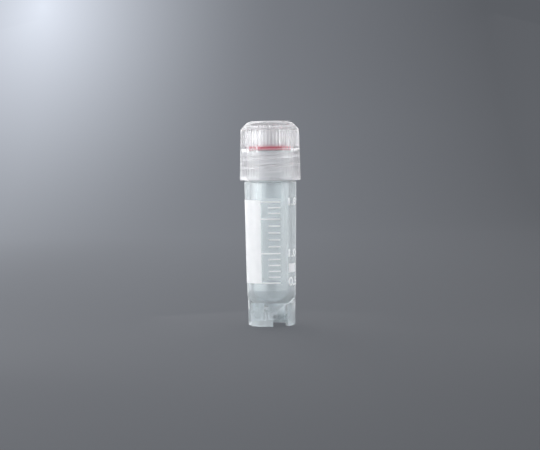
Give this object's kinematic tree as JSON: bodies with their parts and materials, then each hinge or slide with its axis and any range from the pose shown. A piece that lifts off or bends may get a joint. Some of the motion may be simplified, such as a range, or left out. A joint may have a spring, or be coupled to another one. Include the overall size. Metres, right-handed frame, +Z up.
{
  "type": "cryovial",
  "caption": "Self-standing cryogenic vial with an outside screw thread, ribbed screw cap, silicone washer, writing panel and volume scale.",
  "frame": {"origin": "on the tube's axis, in the plane that the foot stands on", "axes": "+Z up along the tube's axis, towards the cap; -Y is the front, where the scale is read; +X is to its right"},
  "size_m": [0.0146, 0.0146, 0.049],
  "materials": {
    "tube_plastic": "translucent natural polypropylene, satin",
    "cap_plastic": "translucent natural polypropylene, satin",
    "silicone": "smooth silicone rubber",
    "ink": "screen-printed white ink, matt"
  },
  "bodies": {
    "vial": {"tube": "tube_plastic", "writing_panel": "ink", "scale_marks": "ink"},
    "washer": {"sealing_washer": "silicone"},
    "cap": {"cap": "cap_plastic"}
  },
  "joints": [
    {"name": "cap_lift", "type": "slide", "parent": "vial", "child": "washer", "axis": [0, 0, 1], "range_m": [0, 0.00525]},
    {"name": "cap_turn", "type": "hinge", "parent": "washer", "child": "cap", "pos_m": [0, 0, 0.0429], "axis": [0, 0, 1], "range_deg": [0, 900]}
  ],
  "couplings": [
    {"joint": "cap_turn", "follows": "cap_lift", "rad_per_m": 2992}
  ]
}
